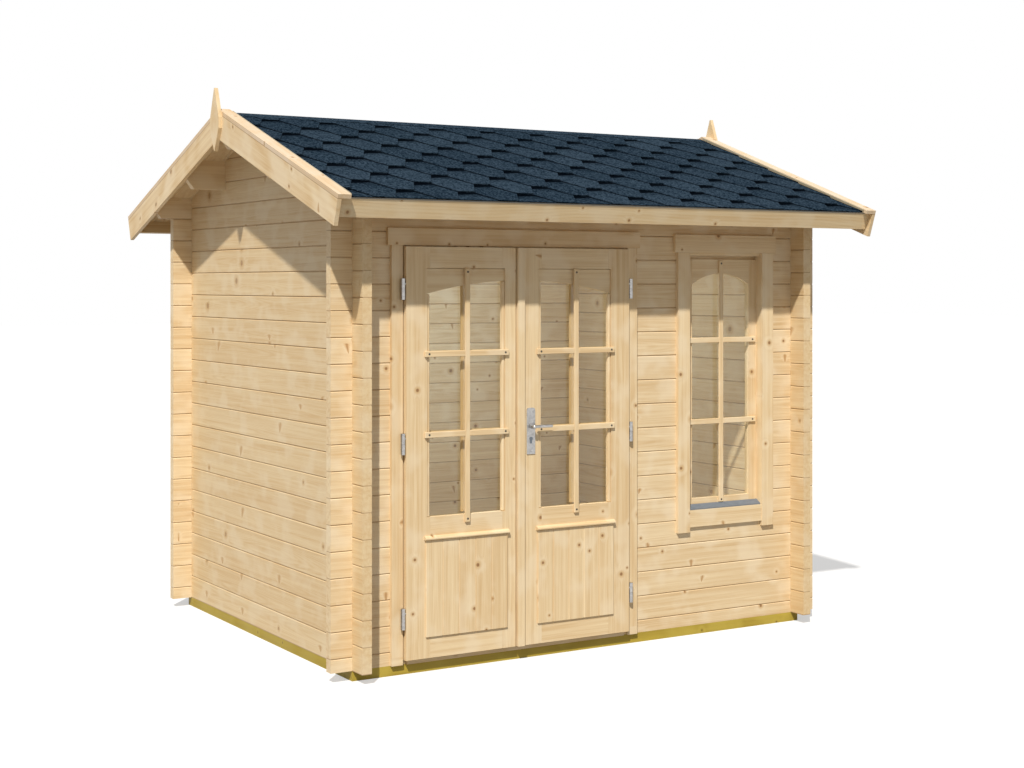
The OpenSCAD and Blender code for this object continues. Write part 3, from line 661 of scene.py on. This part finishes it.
def stile_cut(x, y, z):
    second, third, fourth = x > LEFT_PANE, x > MEETING, x > RIGHT_PANE
    across = x - STILES[0]
    for step, here, after in zip((second, third, fourth), STILES, STILES[1:]):
        across = across - step * (after - here)
    return z, across, y - LEAF_FRONT, second + third + fourth + 51


def rail_cut(x, y, z):
    rail, across = boards(z, RAIL_FOOT, RAIL_STEP)
    return x, across, y - LEAF_FRONT, rail + (x > MEETING) * 10 + 61


stile_spruce = timber("stile_spruce", stile_cut, **SPRUCE)
rail_spruce = timber("rail_spruce", rail_cut, **SPRUCE)
dress(stile_spruce, "left_leaf_stiles", "right_leaf_stiles", "cover_strip")
dress(rail_spruce, "left_leaf_rails", "right_leaf_rails", "left_leaf_arch", "right_leaf_arch")

# Lower panels: upright matched boards planted a little proud of each leaf, with a rounded drip
# moulding along the top that throws rain clear.
PANELS = (("left_leaf", -0.903, -0.490), ("right_leaf", -0.331, 0.083))
PANEL_BOARDS, PANEL_WIDTH, PANEL_FOOT, PANEL_ARRIS = 5, 0.0826, 0.1575, 0.0022
LEAF_FACE = -1.0503
PANEL_LAYERS = ((0.0, -1.058, LEAF_FACE, 0.5815), (0.024, LEAF_FACE, -1.036, 0.5745))
DRIP_FOOT, DRIP_PAST = 0.582, 0.006
DRIP = (
    (0.0, 0.0),
    (-0.0135, 0.0),
    (-0.0172, 0.0025),
    (-0.0178, 0.0065),
    (-0.0155, 0.0115),
    (-0.004, 0.0185),
    (0.0, 0.0185),
)


def panel_cut(x, y, z):
    board, across = boards(x, PANELS[0][1], PANEL_WIDTH)
    return z, across, y - LEAF_FRONT, board + 500


panel_spruce = timber("panel_spruce", panel_cut, **SPRUCE)
for body, left, right in PANELS:
    laid = bmesh.new()
    for inset, front, back, top in PANEL_LAYERS:
        width = (right - left - 2 * inset) / PANEL_BOARDS
        for row in range(PANEL_BOARDS):
            near = left + inset + row * width
            plank(laid, (near, front, PANEL_FOOT), (near + width, back, top), PANEL_ARRIS)
    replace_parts(make(f"{body}_panel_boards", laid, panel_spruce, body), f"{body}_panel")
    strip = bmesh.new()
    rings = []
    for x in (left - DRIP_PAST, right + DRIP_PAST):
        rings.append([strip.verts.new((x, LEAF_FACE + out, DRIP_FOOT + up)) for out, up in DRIP])
    close(strip, *rings)
    make(f"{body}_drip_moulding", strip, rail_spruce, body)

# Glass: clear float panes bedded in the leaves and the window, faintly smeared, so that they
# mirror a little, and more at a glancing look.
pane, shine, spot = new_finish("clear_glass")
smear = spot.node("ShaderNodeTexNoise", sockets={"Vector": spot, "Scale": 5.0, "Detail": 4.0})
through = spot.node("ShaderNodeBsdfTransparent", sockets={"Color": (0.97, 0.98, 0.975, 1.0)})
wire(shine, {"Base Color": (0.9, 0.92, 0.92, 1.0), "Metallic": 1.0, "Roughness": smear * 0.05 + 0.01})
edge_on = spot.node("ShaderNodeLayerWeight", sockets={"Blend": 0.5}, out="Facing")
mirror = edge_on**5.0 * 0.9 + 0.035
polished = Tone(pane.node_tree, shine.outputs["BSDF"])
face = spot.node("ShaderNodeMixShader", sockets={0: mirror, 1: through, 2: polished})
wire(pane.node_tree.nodes["Material Output"], {"Surface": face})
dress(pane, "left_leaf_glass", "right_leaf_glass", "window_glass")

# Glazing bars and beads: slim spruce bars screwed across the face of each leaf and again behind
# the glass, and square beads that hold the pane at its sides.
BAR_FACE, INNER_FACE, INNER_BACK = -1.0615, -1.0205, -1.0105
UPRIGHT_HALF, CROSS_HALF, BAR_GAP, BAR_ARRIS = 0.012, 0.013, 0.0002, 0.002
UPRIGHT_FOOT, UPRIGHT_HEAD, INNER_FOOT, INNER_HEAD = 0.647, 1.7685, 0.690, 1.7600
UPRIGHT_SCREWS, CROSS_LEVELS = (0.662, 1.753), (1.040, 1.393)
BEAD_FRONT, BEAD_BACK, BEAD_FOOT, BEAD_WIDTH, BEAD_ARRIS = -1.0465, -1.0252, 0.6815, 0.015, 0.003
BAR_LEFT, BAR_STEP, BAR_FOOT, BAR_ROW = -1.0, 0.19, 0.85, 0.36
BEHIND, BESIDE = -1.04, 0.3
SCREW_IN, SCREW_OUT, INNER_IN = 0.02, 0.018, 0.02
# A more orange spruce for the bars behind the glass: painted warm room light on them.
WARM_LIGHT_SPRUCE = {**SPRUCE, "early": (0.74, 0.52, 0.26), "pale": (0.76, 0.56, 0.32), "late": (0.52, 0.29, 0.10)}
LEAVES = (
    ("left_leaf", -0.6965, (-0.908, -0.485), ((-0.894, 1.655), (-0.514, 1.712))),
    ("right_leaf", -0.124, (-0.335, 0.088), ((-0.322, 1.712), (0.059, 1.655))),
)
zinc, plating, spot = new_finish("dark_zinc")
tarnish = spot.node("ShaderNodeTexNoise", sockets={"Vector": spot, "Scale": 700.0, "Detail": 2.0})
zinc_tone = tarnish.blend((0.03, 0.026, 0.022), (0.11, 0.095, 0.08))
wire(plating, {"Base Color": zinc_tone, "Roughness": tarnish * 0.3 + 0.35, "Metallic": 0.8})


def screw(shape, x, y, z, radius=0.005):
    """A countersunk screw head facing the front: a low dome with a dished middle."""
    rings = []
    for reach, out in ((1.0, 0.0), (0.85, 0.0007), (0.45, 0.0008), (0.25, 0.0001)):
        turns = [math.tau * step / 12 for step in range(12)]
        at = [(x + math.cos(a) * reach * radius, y - out, z + math.sin(a) * reach * radius) for a in turns]
        rings.append([shape.verts.new(place) for place in at])
    for outer, inner in zip(rings, rings[1:]):
        for step in range(12):
            shape.faces.new((outer[step - 1], outer[step], inner[step], inner[step - 1]))
    shape.faces.new(rings[-1])
    shape.faces.new(rings[0][::-1])


def upright_cut(x, y, z):
    bar, across = boards(x, BAR_LEFT, BAR_STEP)
    return z, across, y - LEAF_FRONT, bar + (y > BEHIND) * 7 + 71


def cross_cut(x, y, z):
    bar, across = boards(z, BAR_FOOT, BAR_ROW)
    number = bar + (x > MEETING) * 3 + (x > BESIDE) * 5 + (y > BEHIND) * 9 + 81
    return x, across, y - LEAF_FRONT, number


upright_bar = timber("upright_bar_spruce", upright_cut, **SPRUCE, knots=0.15)
cross_bar = timber("cross_bar_spruce", cross_cut, **SPRUCE, knots=0.15)
# The bars behind the glass wear the painted warm-light palette.
inner_upright = timber("inner_upright_spruce", upright_cut, **WARM_LIGHT_SPRUCE, knots=0.15)
inner_cross = timber("inner_cross_spruce", cross_cut, **WARM_LIGHT_SPRUCE, knots=0.15)
for body, middle, ends, sides in LEAVES:
    uprights, crosses, heads = bmesh.new(), bmesh.new(), bmesh.new()
    back_upright, back_crosses = bmesh.new(), bmesh.new()
    left, right = middle - UPRIGHT_HALF, middle + UPRIGHT_HALF
    plank(uprights, (left, BAR_FACE, UPRIGHT_FOOT), (right, LEAF_FACE, UPRIGHT_HEAD), BAR_ARRIS)
    plank(back_upright, (left, INNER_FACE, INNER_FOOT), (right, INNER_BACK, INNER_HEAD), BAR_ARRIS)
    for height in UPRIGHT_SCREWS:
        screw(heads, middle, BAR_FACE, height)
    for height in CROSS_LEVELS:
        low, high = height - CROSS_HALF, height + CROSS_HALF
        for start, end in ((ends[0], left - BAR_GAP), (right + BAR_GAP, ends[1])):
            plank(crosses, (start, BAR_FACE, low), (end, LEAF_FACE, high), BAR_ARRIS)
            screw(heads, start + SCREW_IN if start == ends[0] else end - SCREW_OUT, BAR_FACE, height)
            near, far = max(start, ends[0] + INNER_IN), min(end, ends[1] - INNER_IN)
            plank(back_crosses, (near, INNER_FACE, low), (far, INNER_BACK, high), BAR_ARRIS)
    for start, top in sides:
        low, high = start + BAR_GAP, start + BEAD_WIDTH - BAR_GAP
        plank(uprights, (low, BEAD_FRONT, BEAD_FOOT), (high, BEAD_BACK, top), BEAD_ARRIS)
    make(f"{body}_upright_bars", uprights, upright_bar, body)
    make(f"{body}_cross_bars", crosses, cross_bar, body)
    make(f"{body}_inner_upright", back_upright, inner_upright, body)
    make(f"{body}_inner_cross_bars", back_crosses, inner_cross, body)
    make(f"{body}_bar_screws", heads, zinc, body)

# Hinges and lock: galvanised steel barrels, pressed steel lock plates with a profile cylinder,
# and a round lever through both plates.
LOCK_MIDDLE, KEY_LEVEL, PLATE_FACE = -0.366, 0.999, -1.0541
KEY_ENDS = ((-1.0561, PLATE_FACE), (-1.0139, -1.0119))
KEY_RADIUS, KEY_FOOT, KEY_HALF = 0.0085, -0.022, 0.005
LOCK_SCREWS, LOCK_SCREW_RADIUS = (0.944, 1.124), 0.0036
steel, zinc_coat, spot = new_finish("galvanised_steel")
spangle = spot.node("ShaderNodeTexVoronoi", sockets={"Vector": spot, "Scale": 160.0}).of("Color").split()[0]
haze = spot.node("ShaderNodeTexNoise", sockets={"Vector": spot, "Scale": 60.0, "Detail": 4.0})
sheen = (spangle * 0.4 + haze * 0.6).blend((0.28, 0.275, 0.27), (0.58, 0.57, 0.56))
haze_bump = haze.node("ShaderNodeBump", sockets={"Height": haze, "Strength": 0.15, "Distance": 0.0006})
wire(zinc_coat, {"Base Color": sheen, "Roughness": haze * 0.25 + 0.26, "Normal": haze_bump})
wire(zinc_coat, {"Metallic": 1.0})
dress(steel, "frame_hinges", "left_leaf_hinges", "right_leaf_hinges", "lock_plates", "lever_handle")

weathered, drawn, spot = new_finish("weathered_aluminium")
run, _, rise = spot.split()
scuff = (run * 30.0).join(rise * 900.0).noise(3.0)
drawn_tone = scuff.blend((0.07, 0.085, 0.105), (0.21, 0.24, 0.275))
wire(drawn, {"Base Color": drawn_tone, "Roughness": scuff * 0.2 + 0.4})


def keyway(shape, x, z, front, back):
    """The pear-shaped outline of a lock cylinder, drawn out from front to back."""
    turns = [math.radians(degrees) for degrees in range(-55, 236, 15)]
    outline = [(math.cos(a) * KEY_RADIUS, math.sin(a) * KEY_RADIUS) for a in turns]
    outline += [(-KEY_HALF, KEY_FOOT), (KEY_HALF, KEY_FOOT)]
    close(shape, *[[shape.verts.new((x + u, y, z + v)) for u, v in outline] for y in (front, back)])


barrel = bmesh.new()
for front, back in KEY_ENDS:
    keyway(barrel, LOCK_MIDDLE, KEY_LEVEL, front, back)
make("lock_cylinder", barrel, weathered, "right_leaf")
heads = bmesh.new()
for height in LOCK_SCREWS:
    screw(heads, LOCK_MIDDLE, PLATE_FACE, height, LOCK_SCREW_RADIUS)
make("lock_screws", heads, steel, "right_leaf")

# Window: a spruce frame, a fixed sash with an arched head and slim bars screwed on its face,
# flat casings and an apron outside, and a metal drip bar under the sash.
WINDOW_MIDDLE, WINDOW_LEVEL = 0.77, 1.2
SASH_BAR_FACE, SASH_FACE = -0.993, -0.9823
SASH_BAR, SASH_BAR_HALF = 0.767, 0.0125
SASH_BAR_FOOT, SASH_BAR_HEAD, SASH_BAR_SCREWS = 0.6285, 1.815, (0.641, 1.8)
SASH_LEVELS, SASH_ENDS, SASH_SCREWS = (1.027, 1.424), (0.552, 0.981), (0.57, 0.962)


def window_cut(half, head, upright_middle, number):
    """The cut of a frame round the window: uprights outside half, lying pieces between and over head."""

    def cut(x, y, z):
        level = (abs(x - WINDOW_MIDDLE) < half).math("MAXIMUM", z > head)
        upright = (z, abs(x - WINDOW_MIDDLE) - upright_middle, y, (x > WINDOW_MIDDLE) + number)
        return turned(level, upright, (x, z - WINDOW_LEVEL, y, (z > WINDOW_LEVEL) + (number + 4)))

    return cut


casing_cut = window_cut(0.2225, 1.851, 0.25, 91)
sash_cut = window_cut(0.1758, 1.8192, 0.2, 101)
dress(timber("window_spruce", casing_cut, **SPRUCE), "window_frame", "window_casing")
dress(timber("sash_spruce", sash_cut, **SPRUCE), "window_sash")
dress(weathered, "window_drip_bar")
uprights, crosses, heads = bmesh.new(), bmesh.new(), bmesh.new()
left, right = SASH_BAR - SASH_BAR_HALF, SASH_BAR + SASH_BAR_HALF
plank(uprights, (left, SASH_BAR_FACE, SASH_BAR_FOOT), (right, SASH_FACE, SASH_BAR_HEAD), BAR_ARRIS)
for height in SASH_BAR_SCREWS:
    screw(heads, SASH_BAR, SASH_BAR_FACE, height)
for height in SASH_LEVELS:
    low, high = height - CROSS_HALF, height + CROSS_HALF
    for start, end in ((SASH_ENDS[0], left - BAR_GAP), (right + BAR_GAP, SASH_ENDS[1])):
        plank(crosses, (start, SASH_BAR_FACE, low), (end, SASH_FACE, high), BAR_ARRIS)
    for x in SASH_SCREWS:
        screw(heads, x, SASH_BAR_FACE, height)
make("window_upright_bar", uprights, upright_bar, "cabin")
make("window_cross_bars", crosses, cross_bar, "cabin")
make("window_bar_screws", heads, zinc, "cabin")
